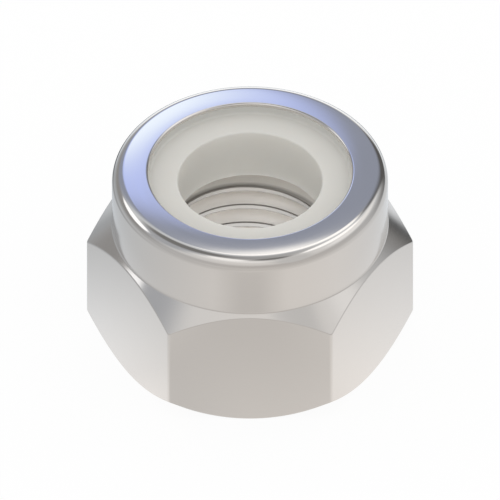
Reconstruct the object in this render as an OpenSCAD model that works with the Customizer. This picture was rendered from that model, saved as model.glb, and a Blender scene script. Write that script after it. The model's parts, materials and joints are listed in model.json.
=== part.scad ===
// Hexagon lock nut M20 with a nylon ring, standing on its bearing face.
// The steel body is one cold formed and tapped piece: a hexagon with a round collar on top, whose
// wall is rolled inwards over the ring. The ring's bore is smaller than the thread, so that a bolt
// that comes up through the thread has to press its own way into the nylon, which stops it turning.
// Lengths are millimetres. Z is the thread's axis, and zero is the middle of the bearing face.

/* [Hexagon] */
// Width across the flats
across_flats = 30; // [29:0.1:34]
// Height of the hexagon, from the bearing face to the foot of the collar
hex_h = 14.5; // [12:0.1:18]
// Diameter of the bearing face
bearing_d = 29.8; // [27:0.1:29.9]
// Slope of the chamfers at both ends of the hexagon, in degrees from the bearing face
chamfer_angle = 45; // [20:1:50]
// Radius along the six upright edges
edge_r = 0.45; // [0.2:0.05:1]

/* [Collar] */
// Height of the whole nut
nut_h = 21.8; // [20.5:0.1:24]
// Outer diameter of the collar
collar_d = 29.2; // [27.5:0.1:29.5]
// Thickness of the collar's wall round the ring
collar_wall = 1.7; // [1:0.1:2]
// Radius of the roll at the top of the collar
roll_r = 1.4; // [0.8:0.05:1.7]
// Width of the lip, from the outside of the collar to the hole inside it
lip_w = 3.85; // [2.8:0.05:4.2]
// Slope of the crowned lip where it runs into the roll, in degrees; at its hole it is level
lip_slope = 6; // [1:0.5:10]
// Thickness of the lip where it leaves the wall
lip_root_t = 1.5; // [1:0.05:2]
// Thickness of the lip at its hole
lip_edge_t = 0.35; // [0.3:0.05:0.8]
// Radius of the lip's upper edge round the hole
lip_edge_r = 0.2; // [0.1:0.05:0.25]

/* [Thread] */
// Nominal diameter of the thread
thread_d = 20; // [18:0.5:20.5]
// Pitch of the thread
pitch = 2.5; // [1:0.25:3]
// Diameter of the countersinks at both ends of the thread
countersink_d = 21; // [20.5:0.1:22]
// Slope of the countersinks, in degrees from the bearing face
countersink_angle = 45; // [25:1:50]

/* [Nylon ring] */
// Depth of the ring's flat top below the top of the lip
ring_recess = 1.3; // [0.8:0.05:2]
// Thickness of the ring from its flat top to its seat
ring_t = 6.05; // [4.5:0.05:6.5]
// Width of the ring, from its bore to its outer edge
ring_w = 5.25; // [4.2:0.05:6]
// Radius of the edges at both ends of the ring's bore
ring_edge_r = 0.2; // [0.1:0.05:0.4]
// Radius at the foot of the ring's rim
ring_foot_r = 0.3; // [0.1:0.05:0.4]
// Clearance between the ring and the collar round it
ring_clearance = 0.02; // [0:0.01:0.1]

/* [Hidden] */
$fn = 180;

// How far a shape runs past what it cuts or joins
overrun = 1;

// Hexagon
sides = 6;
side_angle = 360 / sides;
corner_r = across_flats / 2 / cos(side_angle / 2);
edge_centre_r = corner_r - edge_r / cos(side_angle / 2);
bearing_r = bearing_d / 2;

// Collar, and the pocket in it that holds the ring
collar_r = collar_d / 2;
lip_r = collar_r - lip_w;
pocket_r = collar_r - collar_wall;

// Lip: a wide arc, level where it meets the hole's edge radius, that ends in the roll's arc without an edge
crown_start_r = lip_r + lip_edge_r;
crown_r = (collar_r - roll_r - crown_start_r) / sin(lip_slope) + roll_r;
crown_centre_h = nut_h - crown_r;
roll_centre_h = crown_centre_h + (crown_r - roll_r) * cos(lip_slope);
roll_start = roll_r * sin(lip_slope);

// Chamfers, which run on at their slope to past the corners
past_corner_r = corner_r + overrun;
lower_chamfer_h = (past_corner_r - bearing_r) * tan(chamfer_angle);
upper_chamfer_h = (past_corner_r - collar_r) * tan(chamfer_angle);

// Nylon ring
ring_top_h = nut_h - ring_recess;
seat_h = ring_top_h - ring_t;
ring_r = pocket_r - ring_clearance;
ring_bore_r = ring_r - ring_w;

// Thread: the metric profile takes this share of its triangle's height off the radius
flank_angle = 30;
profile_share = 5 / 8;
profile_h = pitch / 2 / tan(flank_angle);
minor_r = thread_d / 2 - profile_h * profile_share;
countersink_r = countersink_d / 2;
countersink_h = (countersink_r - minor_r) * tan(countersink_angle);

// The sliver between a square corner and the circle that rounds it, with the circle's centre at zero.
// It begins at the given distance to the right of that centre.
module corner_sliver(r, start = 0) {
  difference() {
    translate([start, 0])
      square(r + overrun);
    circle(r = r);
  }
}

// The hexagon from above: straight sides between a circle in each corner
module hexagon_outline() {
  polygon([
    for (i = [0 : sides - 1])
      for (turn = [-side_angle / 2, side_angle / 2])
        edge_centre_r * [cos(i * side_angle), sin(i * side_angle)]
          + edge_r * [cos(i * side_angle + turn), sin(i * side_angle + turn)]
  ]);
  for (i = [0 : sides - 1])
    rotate(i * side_angle)
      translate([edge_centre_r, 0])
        circle(r = edge_r);
}

// Half of the body's section, out to past the hexagon's corners
module body_section() {
  difference() {
    polygon([
      [countersink_r, 0],
      [bearing_r, 0],
      [past_corner_r, lower_chamfer_h],
      [past_corner_r, hex_h - upper_chamfer_h],
      [collar_r, hex_h],
      [collar_r, nut_h],
      [lip_r, nut_h],
      [lip_r, nut_h - lip_edge_t],
      [pocket_r, nut_h - lip_root_t],
      [pocket_r, seat_h],
      [countersink_r, seat_h],
      [minor_r, seat_h - countersink_h],
      [minor_r, countersink_h],
    ]);
    translate([crown_start_r, crown_centre_h])
      corner_sliver(crown_r);
    translate([collar_r - roll_r, roll_centre_h])
      corner_sliver(roll_r, roll_start);
    translate([crown_start_r, nut_h - lip_edge_r])
      mirror([1, 0])
        corner_sliver(lip_edge_r);
  }
}

// Half of the ring's section: it fills the pocket and rises under the lip to a rim
module ring_section() {
  difference() {
    polygon([
      [ring_bore_r, seat_h],
      [ring_r, seat_h],
      [ring_r, nut_h - lip_root_t - ring_clearance],
      [lip_r, nut_h - lip_edge_t - ring_clearance],
      [lip_r, ring_top_h + ring_foot_r],
      [lip_r - ring_foot_r, ring_top_h],
      [ring_bore_r, ring_top_h],
    ]);
    translate([lip_r - ring_foot_r, ring_top_h + ring_foot_r])
      circle(r = ring_foot_r);
    translate([ring_bore_r + ring_edge_r, ring_top_h - ring_edge_r])
      mirror([1, 0])
        corner_sliver(ring_edge_r);
    translate([ring_bore_r + ring_edge_r, seat_h + ring_edge_r])
      rotate(180)
        corner_sliver(ring_edge_r);
  }
}

// The steel body: its turned section, cut to the hexagon
module nut_body() {
  color("silver")
    intersection() {
      rotate_extrude()
        body_section();
      translate([0, 0, -overrun])
        linear_extrude(nut_h + 2 * overrun)
          hexagon_outline();
    }
}

// The nylon ring in the collar
module nylon_ring() {
  color("gainsboro")
    rotate_extrude()
      ring_section();
}

nut_body();
nylon_ring();
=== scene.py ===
import json
import math

import bmesh
import bpy
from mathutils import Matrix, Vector


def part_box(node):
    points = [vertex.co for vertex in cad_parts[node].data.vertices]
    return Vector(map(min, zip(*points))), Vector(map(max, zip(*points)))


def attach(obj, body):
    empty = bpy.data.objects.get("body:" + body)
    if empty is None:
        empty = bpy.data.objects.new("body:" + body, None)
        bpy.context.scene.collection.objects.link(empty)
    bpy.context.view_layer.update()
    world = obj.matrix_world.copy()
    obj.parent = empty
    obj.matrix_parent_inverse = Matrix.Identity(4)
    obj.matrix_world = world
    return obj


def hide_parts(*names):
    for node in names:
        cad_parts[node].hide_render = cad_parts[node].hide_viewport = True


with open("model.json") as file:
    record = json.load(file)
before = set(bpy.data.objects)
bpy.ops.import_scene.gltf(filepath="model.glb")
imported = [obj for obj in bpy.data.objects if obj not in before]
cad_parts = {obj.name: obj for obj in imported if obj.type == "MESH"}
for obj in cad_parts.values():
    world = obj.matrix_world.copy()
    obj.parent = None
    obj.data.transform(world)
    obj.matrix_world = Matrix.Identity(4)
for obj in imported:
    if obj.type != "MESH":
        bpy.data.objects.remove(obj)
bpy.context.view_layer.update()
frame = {"record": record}

# A hexagon lock nut M20 with a nylon ring. The solids give its size. Here the steel body gets its thread and
# its small edge radii, the ring its moulded edges, and both their finish. Lengths are metres.

MM = 0.001

# Sizes that the solids give
body_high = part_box("nut_body")[1]
nut_h = body_high[2]
flat_r = body_high[1]
mounts = {mount["name"]: mount for mount in frame["record"]["mounts"]}
minor_r = mounts["thread"]["dims"]["r_mm"] * MM
ring_bore_r = mounts["ring_bore"]["dims"]["r_mm"] * MM

# Hexagon
hex_h = 14.5 * MM
bearing_r = 14.9 * MM
upright_edge_r = 0.45 * MM
hex_sides = 6
side_angle = 2 * math.pi / hex_sides
edge_centre_r = (flat_r - upright_edge_r) / math.cos(side_angle / 2)
edge_half_angle = math.atan2(
    upright_edge_r * math.sin(side_angle / 2), edge_centre_r + upright_edge_r * math.cos(side_angle / 2)
)

# Collar, lip and pocket: lip_slope is the lip's slope where it runs into the roll
collar_r = 14.6 * MM
roll_r = 1.4 * MM
lip_r = 10.75 * MM
lip_slope = math.radians(6)
lip_hole_slope = math.radians(2)
lip_edge_t = 0.35 * MM
lip_edge_r = 0.3 * MM
lip_root_t = 1.5 * MM
pocket_r = 12.9 * MM
seat_h = 14.45 * MM

# Crown of the lip: its arc's radius, the corner that the arc rounds, and the corner that the roll rounds
crown_start_r = lip_r + lip_edge_r
crown_end_r = collar_r - roll_r + roll_r * math.sin(lip_slope)
crown_r = (crown_end_r - crown_start_r) / (math.sin(lip_slope) - math.sin(lip_hole_slope))
crown_tangent = crown_r * math.tan((lip_slope - lip_hole_slope) / 2)
crown_corner_r = crown_start_r + crown_tangent * math.cos(lip_hole_slope)
crown_corner_h = nut_h - crown_tangent * math.sin(lip_hole_slope)
roll_corner_h = crown_corner_h - (collar_r - crown_corner_r) * math.tan(lip_slope)
roll_foot_h = roll_corner_h - roll_r * math.tan((math.pi / 2 - lip_slope) / 2)
lip_corner_h = nut_h + lip_edge_r * math.tan(lip_hole_slope)

# Thread: a crest begins at crest_back_h at the back of the nut
pitch = 2.5 * MM
major_r = 10 * MM
countersink_r = 10.5 * MM
flank_angle = math.radians(30)
crest_bevel = 0.08 * MM
crest_back_h = 11.355 * MM
thread_steps = 96

# Painted shade under the ring, on the last turn of the thread: the foot of its flank is painted darker above
# the first height, darkening over the second width, within the third width of the crest
painted_shade_h = 11.4 * MM
painted_shade_w = 0.7 * MM
painted_shade_foot_w = 0.5 * MM

# Ring
ring_clearance = 0.02 * MM
ring_top_h = 20.5 * MM
ring_edge_r = 0.2 * MM
ring_foot_r = 0.3 * MM

# The radius that forming leaves on edges with no radius of their own, and the fainter one that turning leaves
# at the lower chamfer
small_edge_r = 0.28 * MM
faint_edge_r = small_edge_r / 4

# Meshes: columns round the axis, the share of their even spacing that they keep at a corner of the hexagon,
# the distance at which points are one, and the angle between faces up to which they shade as one
columns = 360
corner_crowding = 0.22
merge_distance = 0.001 * MM
smooth_angle = math.radians(24)


def only_select(piece):
    """Makes a piece the one that operators act on."""
    bpy.ops.object.select_all(action="DESELECT")
    piece.select_set(True)
    bpy.context.view_layer.objects.active = piece


def apply_modifier(piece, kind, **settings):
    """Adds one modifier to a piece and applies it."""
    only_select(piece)
    modifier = piece.modifiers.new(kind.lower(), kind)
    for name, value in settings.items():
        setattr(modifier, name, value)
    bpy.ops.object.modifier_apply(modifier=modifier.name)


def section_outline(name, corners):
    """Makes a closed outline in the XZ plane, and rounds its corners.

    Each corner is its radius from the axis, its height, its edge radius and the segments of that edge.
    """
    bpy.ops.mesh.primitive_circle_add(vertices=len(corners), radius=flat_r, fill_type="NOTHING")
    piece = bpy.context.object
    piece.name = name
    for vertex, corner in zip(piece.data.vertices, corners):
        vertex.co = (corner[0], 0, corner[1])
    only_select(piece)
    bpy.ops.object.mode_set(mode="EDIT")
    places = [Vector((corner[0], 0, corner[1])) for corner in corners]
    for i, corner in enumerate(corners):
        if corner[2] == 0:
            continue
        before = (places[i - 1] - places[i]).normalized()
        after = (places[(i + 1) % len(places)] - places[i]).normalized()
        tangent_length = corner[2] / math.tan(before.angle(after) / 2)
        mesh = bmesh.from_edit_mesh(piece.data)
        nearest = min(mesh.verts, key=lambda vertex: (vertex.co - places[i]).length)
        bpy.ops.mesh.select_all(action="DESELECT")
        nearest.select_set(True)
        mesh.select_flush_mode()
        bmesh.update_edit_mesh(piece.data)
        bpy.ops.mesh.bevel(offset=tangent_length, segments=corner[3], affect="VERTICES", clamp_overlap=False)
    bpy.ops.object.mode_set(mode="OBJECT")
    return piece


def spin_outline(piece):
    """Turns an outline round the thread's axis into a closed solid."""
    only_select(piece)
    bpy.ops.object.mode_set(mode="EDIT")
    bpy.ops.mesh.select_all(action="SELECT")
    bpy.ops.mesh.remove_doubles(threshold=merge_distance)
    bpy.ops.mesh.spin(steps=columns, angle=2 * math.pi, center=(0, 0, 0), axis=(0, 0, 1))
    bpy.ops.mesh.select_all(action="SELECT")
    bpy.ops.mesh.remove_doubles(threshold=merge_distance)
    bpy.ops.mesh.normals_make_consistent(inside=False)
    bpy.ops.object.mode_set(mode="OBJECT")


def from_nearest_corner(angle):
    """The signed angle from the hexagon's nearest corner, the first of which lies on X."""
    return angle - side_angle * round(angle / side_angle)


def hexagon_radius(angle):
    """The hexagon's radius at an angle, with its upright edges rounded."""
    turn = abs(from_nearest_corner(angle))
    if turn > edge_half_angle:
        return flat_r / math.cos(side_angle / 2 - turn)
    across = edge_centre_r * math.sin(turn)
    return edge_centre_r * math.cos(turn) + math.sqrt(upright_edge_r ** 2 - across ** 2)


def crowd_towards_corners(angle):
    """Moves the evenly spaced columns of a turned piece closer together at the hexagon's corners."""
    turn = from_nearest_corner(angle)
    share = turn / (side_angle / 2)
    crowded = corner_crowding * share + (1 - corner_crowding) * share ** 3
    return angle - turn + crowded * side_angle / 2


def pull_out_hexagon(piece):
    """Pulls the rim of the turned blank out to the hexagon, each column along its 45 degree chamfers."""
    for vertex in piece.data.vertices:
        radius = math.hypot(vertex.co.x, vertex.co.y)
        angle = crowd_towards_corners(math.atan2(vertex.co.y, vertex.co.x))
        lower_half = vertex.co.z < hex_h / 2
        chamfer_start_r = bearing_r if lower_half else collar_r
        if radius > (chamfer_start_r + flat_r) / 2:
            step = hexagon_radius(angle) - flat_r
            radius += step
            vertex.co.z += step if lower_half else -step
        vertex.co.x = radius * math.cos(angle)
        vertex.co.y = radius * math.sin(angle)


def thread_groove():
    """The groove of the right-hand thread as a solid: its section, screwed up past both countersinks."""
    # The metric profile: a root an eighth of the pitch wide between crests a quarter of it wide. From mouth_r
    # inwards the section widens faster, which bevels the crests, and it ends a little inside the open bore.
    root_half = pitch / 16
    inner_r = minor_r - pitch / 10
    mouth_r = minor_r + crest_bevel
    mouth_half = root_half + (major_r - mouth_r) * math.tan(flank_angle)
    inner_half = mouth_half + (mouth_r - inner_r) / math.tan(flank_angle)
    corners = [
        (inner_r, -inner_half, 0, 0),
        (mouth_r, -mouth_half, 0, 0),
        (major_r, -root_half, 0, 0),
        (major_r, root_half, 0, 0),
        (mouth_r, mouth_half, 0, 0),
        (inner_r, inner_half, 0, 0),
    ]
    groove = section_outline("thread_groove", corners)
    turns = math.ceil(seat_h / pitch) + 2
    # A quarter turn on, at the back of the nut, the groove's upper side lies at crest_back_h
    groove_half = pitch * 3 / 8
    quarter_turn_rise = pitch / 4
    start_h = crest_back_h - groove_half - quarter_turn_rise
    start_h -= pitch * math.ceil(start_h / pitch + 1)
    for vertex in groove.data.vertices:
        vertex.co.z += start_h
    apply_modifier(
        groove, "SCREW", angle=2 * math.pi, screw_offset=pitch, iterations=turns, steps=thread_steps,
        render_steps=thread_steps, use_merge_vertices=False, use_smooth_shade=False,
    )
    bpy.ops.object.mode_set(mode="EDIT")
    bpy.ops.mesh.select_all(action="SELECT")
    bpy.ops.mesh.remove_doubles(threshold=merge_distance)
    bpy.ops.mesh.fill_holes(sides=0)
    bpy.ops.mesh.select_all(action="SELECT")
    bpy.ops.mesh.normals_make_consistent(inside=False)
    bpy.ops.object.mode_set(mode="OBJECT")
    return groove


def steel_body():
    """The steel body: a turned blank with its rim pulled out to the hexagon, and the thread in its bore."""
    countersink_h = countersink_r - minor_r
    body = section_outline("steel_body", [
        (countersink_r, 0, small_edge_r, 3),
        (bearing_r, 0, faint_edge_r, 3),
        (flat_r, flat_r - bearing_r, faint_edge_r, 3),
        (flat_r, hex_h - flat_r + collar_r, small_edge_r, 4),
        (collar_r, hex_h, small_edge_r, 3),
        (collar_r, roll_corner_h, roll_r, 14),
        (crown_corner_r, crown_corner_h, crown_r, 6),
        (lip_r, lip_corner_h, lip_edge_r, 5),
        (lip_r, nut_h - lip_edge_t, 0, 0),
        (pocket_r, nut_h - lip_root_t, 0, 0),
        (pocket_r, seat_h, 0, 0),
        (countersink_r, seat_h, 0, 0),
        (minor_r, seat_h - countersink_h, 0, 0),
        (minor_r, countersink_h, 0, 0),
    ])
    spin_outline(body)
    pull_out_hexagon(body)
    groove = thread_groove()
    apply_modifier(body, "BOOLEAN", operation="DIFFERENCE", solver="EXACT", object=groove)
    bpy.data.objects.remove(groove)
    finish_shading(body)
    return body


def nylon_ring():
    """The nylon ring, with the edges that moulding gives it."""
    ring_r = pocket_r - ring_clearance
    ring = section_outline("ring_moulded", [
        (ring_bore_r, seat_h, ring_edge_r, 5),
        (ring_r, seat_h, 0, 0),
        (ring_r, nut_h - lip_root_t - ring_clearance, 0, 0),
        (lip_r, nut_h - lip_edge_t - ring_clearance, 0, 0),
        (lip_r, ring_top_h, ring_foot_r, 5),
        (ring_bore_r, ring_top_h, ring_edge_r, 5),
    ])
    spin_outline(ring)
    finish_shading(ring)
    return ring


def resize(piece, factor):
    """Makes a piece larger or smaller by a factor."""
    only_select(piece)
    bpy.ops.transform.resize(value=(factor, factor, factor))
    bpy.ops.object.transform_apply(location=False, rotation=False, scale=True)


def finish_shading(piece):
    """Smooths the curved faces, and lets the large ones keep their own direction.

    The weighting passes over faces of less than a square millimetre, so it is done with the piece enlarged.
    """
    only_select(piece)
    bpy.ops.object.shade_smooth_by_angle(angle=smooth_angle)
    resize(piece, 1 / MM)
    apply_modifier(piece, "WEIGHTED_NORMAL", keep_sharp=True)
    resize(piece, MM)


def linear(code, level=1):
    """An sRGB hex colour, at a level of brightness, as the linear colour that sockets take."""
    parts = [int(code[i:i + 2], 16) / 255 for i in (1, 3, 5)]
    return tuple(level * (p / 12.92 if p <= 0.04045 else ((p + 0.055) / 1.055) ** 2.4) for p in parts) + (1,)


def add_node(tree, kind, settings=(), inputs=(), greys=()):
    """Adds a node with its settings and links.

    settings are its properties, and each input is a value, or another node's output to link. greys are the
    stops of a colour ramp, each with its place from 0 to 1 and its level.
    """
    node = tree.nodes.new(kind)
    for name, value in dict(settings).items():
        setattr(node, name, value)
    for name, value in dict(inputs).items():
        if isinstance(value, bpy.types.NodeSocket):
            tree.links.new(value, node.inputs[name])
        else:
            node.inputs[name].default_value = value
    if greys:
        stops = node.color_ramp.elements
        while len(stops) < len(greys):
            stops.new(1)
        for stop, (place, level) in zip(stops, greys):
            stop.position = place
            stop.color = (level, level, level, 1)
    return node


def unrolled(tree, place):
    """A place as its radius from the axis, its height and its angle in radians, in X, Y and Z."""
    parts = add_node(tree, "ShaderNodeSeparateXYZ", inputs={"Vector": place})
    level = add_node(tree, "ShaderNodeCombineXYZ", inputs={
        "X": parts.outputs["X"], "Y": parts.outputs["Y"],
    })
    radius = add_node(
        tree, "ShaderNodeVectorMath", {"operation": "LENGTH"}, {0: level.outputs["Vector"]}
    )
    angle = add_node(
        tree, "ShaderNodeMath", {"operation": "ARCTAN2"}, {0: parts.outputs["Y"], 1: parts.outputs["X"]}
    )
    return add_node(tree, "ShaderNodeCombineXYZ", inputs={
        "X": radius.outputs["Value"], "Y": parts.outputs["Z"], "Z": angle.outputs["Value"],
    }).outputs["Vector"]


def painted_shade_tone(tree, place, colour, painted_shade_colour):
    """The thread's colour, with painted shade: it turns darker at the foot of the last turn's flank, under
    the ring; place is unrolled.
    """
    parts = add_node(tree, "ShaderNodeSeparateXYZ", inputs={"Vector": place})
    low = add_node(tree, "ShaderNodeMapRange", inputs={
        "Value": parts.outputs["Y"], "From Min": painted_shade_h, "From Max": painted_shade_h + painted_shade_w,
        "To Min": 1, "To Max": 0,
    })
    out = add_node(tree, "ShaderNodeMapRange", inputs={
        "Value": parts.outputs["X"], "From Min": minor_r + crest_bevel,
        "From Max": minor_r + painted_shade_foot_w, "To Min": 0, "To Max": 1,
    })
    clear = add_node(tree, "ShaderNodeMath", {"operation": "MAXIMUM"}, {
        0: low.outputs["Result"], 1: out.outputs["Result"],
    })
    return add_node(tree, "ShaderNodeMix", {"data_type": "RGBA"}, {
        "Factor": clear.outputs["Value"], "A": linear(painted_shade_colour), "B": linear(colour),
    }).outputs["Result"]


def steel_finish(name, colour, roughness, lines, line_w, line_l, depth, blur, painted_shade_colour=None):
    """Stainless steel with fine lines in it, which run along Z or round the axis.

    line_w and line_l are a line's width and length, depth is how far it stands up, and blur is how much
    the lines and the faint clouding vary the roughness. The last argument, if given, is the darker colour of
    the painted shade at the foot of the thread's last turn, under the ring, on faces whose lines run round.
    """
    made = bpy.data.materials.new(name)
    made.use_nodes = True
    tree = made.node_tree
    shader = tree.nodes["Principled BSDF"]
    shader.inputs["Base Color"].default_value = linear(colour)
    shader.inputs["Metallic"].default_value = 1
    object_place = add_node(tree, "ShaderNodeTexCoord").outputs["Object"]
    place = object_place
    length_along = 1
    if lines == "round":
        # Round the axis, an angle times the collar's radius is a length along the line
        place = unrolled(tree, object_place)
        length_along = collar_r
    # Painted shade at the foot of the thread's last turn, under the ring
    if painted_shade_colour:
        tree.links.new(painted_shade_tone(tree, place, colour, painted_shade_colour), shader.inputs["Base Color"])
    stretched = add_node(tree, "ShaderNodeVectorMath", {"operation": "MULTIPLY"}, {
        0: place, 1: (1 / line_w, 1 / line_w, length_along / line_l),
    })
    marks = add_node(
        tree, "ShaderNodeTexNoise", inputs={"Vector": stretched.outputs["Vector"], "Scale": 1, "Detail": 1}
    )
    clouds = add_node(
        tree, "ShaderNodeTexNoise", inputs={"Vector": object_place, "Scale": 1 / cloud_w, "Detail": 2}
    )
    uneven = add_node(tree, "ShaderNodeMath", {"operation": "ADD"}, {
        0: marks.outputs["Fac"], 1: clouds.outputs["Fac"],
    })
    # Two noises together lie between about 0.6 and 1.4
    spread = add_node(tree, "ShaderNodeMapRange", inputs={
        "Value": uneven.outputs["Value"], "From Min": 0.6, "From Max": 1.4,
        "To Min": roughness - blur, "To Max": roughness + blur,
    })
    tree.links.new(spread.outputs["Result"], shader.inputs["Roughness"])
    bump = add_node(tree, "ShaderNodeBump", inputs={
        "Height": marks.outputs["Fac"], "Distance": depth, "Strength": 1,
    })
    tree.links.new(bump.outputs["Normal"], shader.inputs["Normal"])
    return made


# Width of the faint clouds in the steel's gloss, from handling, and in the nylon's tone, from moulding
cloud_w = 6 * MM

# Width and depth of the grain in the nylon's skin, from the mould
grain_w = 0.25 * MM
grain_depth = 0.003 * MM


def steel_finishes():
    """The finishes of the one steel piece, from how each of its faces was made.

    Real tool lines are about 0.05 mm wide, and these are drawn at least 0.3 mm wide, so that they can show.
    """
    return {
        # Flats of the drawn bar: satin, with faint drawing lines along the axis
        "flats": steel_finish(
            "stainless_drawn_flats", "#DEDAD6", 0.25, "upright", 0.3 * MM, 9 * MM, 0.00005 * MM, 0.015
        ),
        # Chamfers and bearing face: turned, with fine rings
        "turned": steel_finish(
            "stainless_turned_faces", "#DEDAD6", 0.14, "round", 0.3 * MM, 14 * MM, 0.0001 * MM, 0.02
        ),
        # Collar: smooth from the forming die
        "collar": steel_finish(
            "stainless_formed_collar", "#DEDAD6", 0.16, "round", 0.4 * MM, 20 * MM, 0.0002 * MM, 0.03
        ),
        # Roll and lip: burnished bright by the rolling tool
        "lip": steel_finish(
            "stainless_burnished_lip", "#DEDAD6", 0.09, "round", 0.4 * MM, 24 * MM, 0.0001 * MM, 0.02
        ),
        # Crests of the thread: what the tap leaves of the drilled bore, the dullest
        "crests": steel_finish(
            "stainless_drilled_bore", "#B4B0AB", 0.5, "round", 0.3 * MM, 8 * MM, 0.0002 * MM, 0.04
        ),
        # Bevels at the edges of the crests: narrow, and painted dark, painted shade that lines out each turn
        "crest bevels, painted shade": steel_finish(
            "stainless_crest_bevels_painted_shade", "#96928E", 0.4, "round", 0.3 * MM, 8 * MM, 0.0002 * MM, 0.04
        ),
        # Flanks of the thread, and the countersinks: cut by the tap and fine. Their colour is painted paler
        # than the rest of the steel, painted light that brightens the bore, and darker at the foot of the
        # last turn under the ring, painted shade
        "thread": steel_finish(
            "stainless_tapped_thread", "#F3F0EC", 0.52, "round", 0.3 * MM, 5 * MM, 0.0002 * MM, 0.04,
            painted_shade_colour="#7C7874",
        ),
    }


# How far a face's direction rises from level: less than the first on an upright face, more than the second
# on a flank of the thread
upright_rise = 0.1
flank_rise = 0.6


def finish_of(centre, normal):
    """Which finish a face of the steel body has, by its place and direction."""
    radius = math.hypot(centre.x, centre.y)
    if radius < countersink_r + small_edge_r and merge_distance < centre.z < seat_h + small_edge_r:
        if radius > minor_r + crest_bevel or abs(normal.z) > flank_rise:
            return "thread"
        # The bevels at the crests' edges take the finish that is painted dark as shade
        return "crests" if abs(normal.z) < upright_rise else "crest bevels, painted shade"
    if centre.z > roll_foot_h:
        return "lip"
    if centre.z > hex_h:
        return "collar"
    if abs(normal.z) < upright_rise and radius > flat_r - merge_distance:
        return "flats"
    return "turned"


def nylon_moulded():
    """Natural nylon 6: milky, so that some light soaks in, with a soft sheen and a faintly uneven skin."""
    made = bpy.data.materials.new("nylon_natural_moulded")
    made.use_nodes = True
    tree = made.node_tree
    shader = tree.nodes["Principled BSDF"]
    shader.inputs["Roughness"].default_value = 0.5
    shader.inputs["IOR"].default_value = 1.53
    shader.inputs["Subsurface Weight"].default_value = 0.35
    shader.inputs["Subsurface Radius"].default_value = (1, 0.9, 0.8)
    shader.inputs["Subsurface Scale"].default_value = 4 * MM
    place = add_node(tree, "ShaderNodeTexCoord").outputs["Object"]
    clouds = add_node(
        tree, "ShaderNodeTexNoise", inputs={"Vector": place, "Scale": 1 / cloud_w, "Detail": 2}
    )
    tone = add_node(tree, "ShaderNodeMix", {"data_type": "RGBA"}, {
        "Factor": clouds.outputs["Fac"], "A": linear("#CFCDC7"), "B": linear("#D6D4CE"),
    })
    tree.links.new(tone.outputs["Result"], shader.inputs["Base Color"])
    grain = add_node(
        tree, "ShaderNodeTexNoise", inputs={"Vector": place, "Scale": 1 / grain_w, "Detail": 3}
    )
    bump = add_node(tree, "ShaderNodeBump", inputs={
        "Height": grain.outputs["Fac"], "Distance": grain_depth, "Strength": 1,
    })
    tree.links.new(bump.outputs["Normal"], shader.inputs["Normal"])
    return made


body = steel_body()
ring = nylon_ring()

finishes = steel_finishes()
finish_names = list(finishes)
for finish in finishes.values():
    body.data.materials.append(finish)
for face in body.data.polygons:
    face.material_index = finish_names.index(finish_of(face.center, face.normal))
ring.data.materials.append(nylon_moulded())

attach(body, "root")
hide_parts("nut_body")
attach(ring, "root")
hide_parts("nylon_ring")


def direction(azimuth, elevation):
    """The direction from the nut at an angle round from X and an angle above the floor, in degrees."""
    a, e = math.radians(azimuth), math.radians(elevation)
    return Vector((math.cos(e) * math.cos(a), math.cos(e) * math.sin(a), math.sin(e)))


def ring_of_tones(tree, turn_share, tones):
    """Greys round the nut, with a level at each azimuth in degrees; turn_share is 0 to 1 round from X."""
    greys = [(azimuth / 360, level) for azimuth, level in tones]
    return add_node(tree, "ShaderNodeValToRGB", inputs={"Fac": turn_share}, greys=greys).outputs["Color"]


def tinted(tree, picture, towards):
    """The studio's greys are a little cool at the left and back, and a little warm at the front."""
    side = add_node(tree, "ShaderNodeVectorMath", {"operation": "DOT_PRODUCT"}, {
        0: towards, 1: direction(285, 0),
    })
    share = add_node(tree, "ShaderNodeMapRange", inputs={
        "Value": side.outputs["Value"], "From Min": -1, "From Max": 1, "To Min": 0, "To Max": 1,
    })
    tint = add_node(tree, "ShaderNodeMix", {"data_type": "RGBA"}, {
        "Factor": share.outputs["Result"], "A": linear("#F1F8FF"), "B": linear("#FFFCF9"),
    })
    both = add_node(tree, "ShaderNodeMix", {"data_type": "RGBA", "blend_type": "MULTIPLY"}, {
        "Factor": 1, "A": picture, "B": tint.outputs["Result"],
    })
    return both.outputs["Result"]


def lay_panel(tree, towards, under, name, azimuth, elevation, width, height, turn, edge, colour, level):
    """Lays a soft-edged oval over the picture of the studio; its angles are degrees as the nut sees them."""
    half_sizes = (1, math.sin(math.radians(width / 2)), math.sin(math.radians(height / 2)))
    place = add_node(tree, "ShaderNodeMapping", {"vector_type": "TEXTURE", "label": name}, {
        "Vector": towards, "Location": direction(azimuth, elevation), "Scale": half_sizes,
        "Rotation": (math.radians(turn), math.radians(-elevation), math.radians(azimuth)),
    })
    out = add_node(tree, "ShaderNodeVectorMath", {"operation": "LENGTH"}, {0: place.outputs["Vector"]})
    share = add_node(tree, "ShaderNodeMapRange", {"interpolation_type": "SMOOTHSTEP"}, {
        "Value": out.outputs["Value"], "From Min": 1 + edge, "From Max": 1 - edge, "To Min": 0, "To Max": 1,
    })
    both = add_node(tree, "ShaderNodeMix", {"data_type": "RGBA"}, {
        "Factor": share.outputs["Result"], "A": under, "B": linear(colour, level),
    })
    return both.outputs["Result"]


# Level of the light that comes up from the floor through the nut's hole, and brightens the thread
hole_glow = 1.9

# Share of plain white in the floor that the camera sees; the rest is its paint, which shows the nut's shadow
plain_white_share = 0.93


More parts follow.
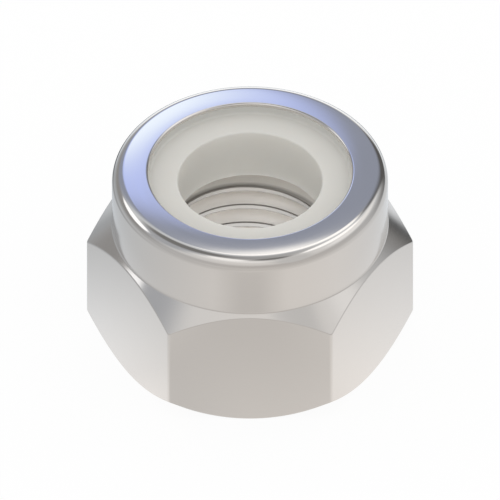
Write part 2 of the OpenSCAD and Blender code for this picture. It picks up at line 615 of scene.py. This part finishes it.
def floor_glow_painted(tree, place):
    """What the nut sees in the floor: painted light and shade, glowing tones that differ with direction and
    distance.

    They shape the flats and the collar in reflection. The floor glows brightest close beside the nut and far
    behind it, a little darker in front of it as painted shade, and a narrow dark ring between the two draws
    the dark line round the back of the roll as a painted reflection.
    """
    parts = add_node(tree, "ShaderNodeSeparateXYZ", inputs={"Vector": unrolled(tree, place)})
    turns = add_node(tree, "ShaderNodeMath", {"operation": "DIVIDE"}, {
        0: parts.outputs["Z"], 1: 2 * math.pi,
    })
    turn_share = add_node(
        tree, "ShaderNodeMath", {"operation": "WRAP"}, {0: turns.outputs["Value"], 1: 1.0, 2: 0.0}
    ).outputs["Value"]
    beside = ring_of_tones(tree, turn_share, (
        (0, 1.06), (40, 1.06), (75, 0.9), (105, 0.9), (130, 1.0), (160, 1.12), (185, 1.12), (212, 1.06),
        (226, 1.12), (236, 1.12), (244, 0.72), (256, 0.75), (270, 0.775), (284, 0.775), (298, 0.8),
        (306, 1.03), (320, 1.06), (360, 1.06),
    ))
    foot = ring_of_tones(tree, turn_share, (
        (0, 0.89), (40, 0.86), (60, 0.88), (80, 0.6), (100, 0.6), (120, 0.67), (150, 0.76), (185, 0.79),
        (210, 0.8), (234, 0.81), (242, 0.72), (250, 0.675), (264, 0.685), (276, 0.685), (292, 0.74),
        (300, 0.84), (330, 0.91), (360, 0.89),
    ))
    around = ring_of_tones(tree, turn_share, (
        (0, 0.83), (40, 0.80), (60, 0.84), (80, 0.5), (100, 0.5), (120, 0.58), (150, 0.66), (210, 0.72),
        (246, 0.80), (264, 0.66), (276, 0.66), (294, 0.83), (330, 0.86), (360, 0.83),
    ))
    behind = ring_of_tones(tree, turn_share, (
        (0, 0.80), (50, 0.80), (68, 0.15), (84, 0.15), (98, 0.04), (122, 0.04), (140, 0.4), (210, 0.68),
        (315, 0.76), (360, 0.80),
    ))
    far = ring_of_tones(tree, turn_share, (
        (0, 0.76), (30, 0.78), (44, 0.78), (56, 1.05), (68, 1.25), (108, 1.25), (120, 0.9), (134, 0.5),
        (160, 0.62), (225, 0.63), (270, 0.68), (315, 0.68), (360, 0.78),
    ))
    horizon = ring_of_tones(tree, turn_share, (
        (0, 0.62), (28, 0.45), (44, 0.1), (58, 0.1), (72, 1.1), (85, 1.33), (100, 1.3), (112, 0.8),
        (122, 0.48), (180, 0.5), (210, 0.56), (240, 0.67), (280, 0.67), (300, 0.6), (360, 0.62),
    ))
    tones = (hole_glow, hole_glow, hole_glow, 1)
    # Each ring takes over between two distances from the nut's axis, in millimetres
    for start, end, outer in (
        (11, 14, beside), (14, 27, foot), (27, 31, around), (38, 40, behind), (60, 68, far),
        (110, 260, horizon),
    ):
        outwards = add_node(tree, "ShaderNodeMapRange", inputs={
            "Value": parts.outputs["X"], "From Min": start * MM, "From Max": end * MM,
            "To Min": 0, "To Max": 1,
        })
        tones = add_node(tree, "ShaderNodeMix", {"data_type": "RGBA"}, {
            "Factor": outwards.outputs["Result"], "A": tones, "B": outer,
        }).outputs["Result"]
    return tones


def floor_paint():
    """A white floor that keeps the nut's soft shadow to the camera; to the nut it glows with painted light
    and shade.
    """
    made = bpy.data.materials.new("floor_paint")
    made.use_nodes = True
    made.cycles.emission_sampling = "NONE"
    tree = made.node_tree
    matt = tree.nodes["Principled BSDF"]
    matt.inputs["Base Color"].default_value = linear("#FCFCFC")
    matt.inputs["Roughness"].default_value = 0.9
    matt.inputs["Specular IOR Level"].default_value = 0
    place = add_node(tree, "ShaderNodeTexCoord").outputs["Object"]
    towards = add_node(
        tree, "ShaderNodeVectorMath", {"operation": "NORMALIZE"}, {0: place}
    ).outputs["Vector"]
    # To the nut the floor is emission: a glow of painted light and shade
    to_nut = add_node(tree, "ShaderNodeEmission", inputs={
        "Color": tinted(tree, floor_glow_painted(tree, place), towards), "Strength": 1,
    })
    white = add_node(tree, "ShaderNodeEmission", inputs={"Strength": 1})
    to_camera = add_node(tree, "ShaderNodeMixShader", inputs={
        "Fac": plain_white_share, 1: matt.outputs["BSDF"], 2: white.outputs["Emission"],
    })
    rays = add_node(tree, "ShaderNodeLightPath")
    whole = add_node(tree, "ShaderNodeMixShader", inputs={
        "Fac": rays.outputs["Is Camera Ray"],
        1: to_nut.outputs["Emission"],
        2: to_camera.outputs["Shader"],
    })
    tree.links.new(whole.outputs["Shader"], tree.nodes["Material Output"].inputs["Surface"])
    return made


def studio_world():
    """Even white light on what is matt. The steel sees a grey studio with softboxes, flags and a window."""
    world = bpy.data.worlds.new("studio")
    world.use_nodes = True
    tree = world.node_tree
    towards = add_node(tree, "ShaderNodeTexCoord").outputs["Generated"]
    parts = add_node(tree, "ShaderNodeSeparateXYZ", inputs={"Vector": towards})
    # The walls' tone at each elevation in degrees
    tones = (
        (0, 0.64), (10, 0.58), (20, 0.6), (30, 0.78), (42, 0.85), (52, 0.84), (62, 0.8), (72, 0.6),
        (90, 0.43),
    )
    walls = add_node(tree, "ShaderNodeValToRGB", inputs={"Fac": parts.outputs["Z"]}, greys=[
        (math.sin(math.radians(elevation)), level) for elevation, level in tones
    ])
    picture = tinted(tree, walls.outputs["Color"], towards)
    # Each panel's name, azimuth, elevation, width, height, turn, edge, colour and level
    for panel in (
        ("left wall, low", 147, 14, 84, 32, 0, 0.5, "#FFFFFF", 0.34),
        ("left wall, high", 184, 46, 40, 46, 0, 0.4, "#F2F7FF", 0.52),
        ("flag, high left", 158, 66, 30, 36, 0, 0.35, "#FFFFFF", 0.22),
        ("right wall", 12, 40, 50, 22, 0, 0.4, "#FFFFFF", 1.02),
        ("front wall, right", 307, 42, 26, 50, 0, 0.35, "#FFFFFF", 0.66),
        ("softbox, right", 12, 58, 35, 17, -28, 0.2, "#FFFFFF", 1.4),
        ("flag, right, low", 47, 2, 46, 26, 0, 0.8, "#FFFFFF", 0.27),
        ("flag, right", 59, 19, 27, 74, -8, 0.3, "#FFFFFF", 0.12),
        ("back wall", 98, 34, 70, 38, 0, 0.3, "#DDE7FF", 0.47),
        ("backdrop", 89, -16, 54, 56, 0, 0.15, "#FFFFFF", 1.33),
        ("window", 98, 34.5, 19, 21, 0, 0.25, "#BBCAFF", 1.27),
        ("window, lamp", 97.5, 32.5, 11, 12, 0, 0.6, "#E5F1FF", 1.5),
        ("softbox, behind", 76, 57, 26, 15, 6, 0.2, "#FFFFFF", 1.4),
        ("softbox, left", 160.5, 29.5, 32.5, 20, 0, 0.12, "#FAFCFF", 1.5),
        ("glow, front left", 252, 58, 44, 14, 0, 0.6, "#FFFFFF", 1.02),
        ("softbox, front left", 240, 67, 20, 18, 0, 0.25, "#FFFFFF", 1.18),
        ("flag, front right", 304, 72, 17, 15, 0, 0.4, "#FFFFFF", 0.22),
    ):
        picture = lay_panel(tree, towards, picture, *panel)
    to_steel = add_node(tree, "ShaderNodeBackground", inputs={"Color": picture, "Strength": 1})
    even = add_node(tree, "ShaderNodeBackground", inputs={"Color": (1, 1, 1, 1), "Strength": 1})
    rays = add_node(tree, "ShaderNodeLightPath")
    seen = add_node(tree, "ShaderNodeMixShader", inputs={
        "Fac": rays.outputs["Is Glossy Ray"],
        1: even.outputs["Background"],
        2: to_steel.outputs["Background"],
    })
    tree.links.new(seen.outputs["Shader"], tree.nodes["World Output"].inputs["Surface"])
    return world


# Floor, which the nut stands in the middle of
floor_w = 4
bpy.ops.object.select_all(action="DESELECT")
bpy.ops.mesh.primitive_plane_add(size=floor_w)
floor = bpy.context.object
floor.name = "floor"
floor.data.materials.append(floor_paint())

# Camera
camera_elevation = math.radians(41.2)
view_width = 52.9 * MM
aim_h = 10.66 * MM
camera_distance = 0.4
camera_data = bpy.data.cameras.new("camera")
camera_data.type = "ORTHO"
camera_data.ortho_scale = view_width
camera = bpy.data.objects.new("camera", camera_data)
bpy.context.scene.collection.objects.link(camera)
camera.location = (
    0, -camera_distance * math.cos(camera_elevation), aim_h + camera_distance * math.sin(camera_elevation)
)
camera.rotation_euler = (math.pi / 2 - camera_elevation, 0, 0)
bpy.context.scene.camera = camera

bpy.context.scene.world = studio_world()
bpy.context.scene.view_settings.view_transform = "Standard"
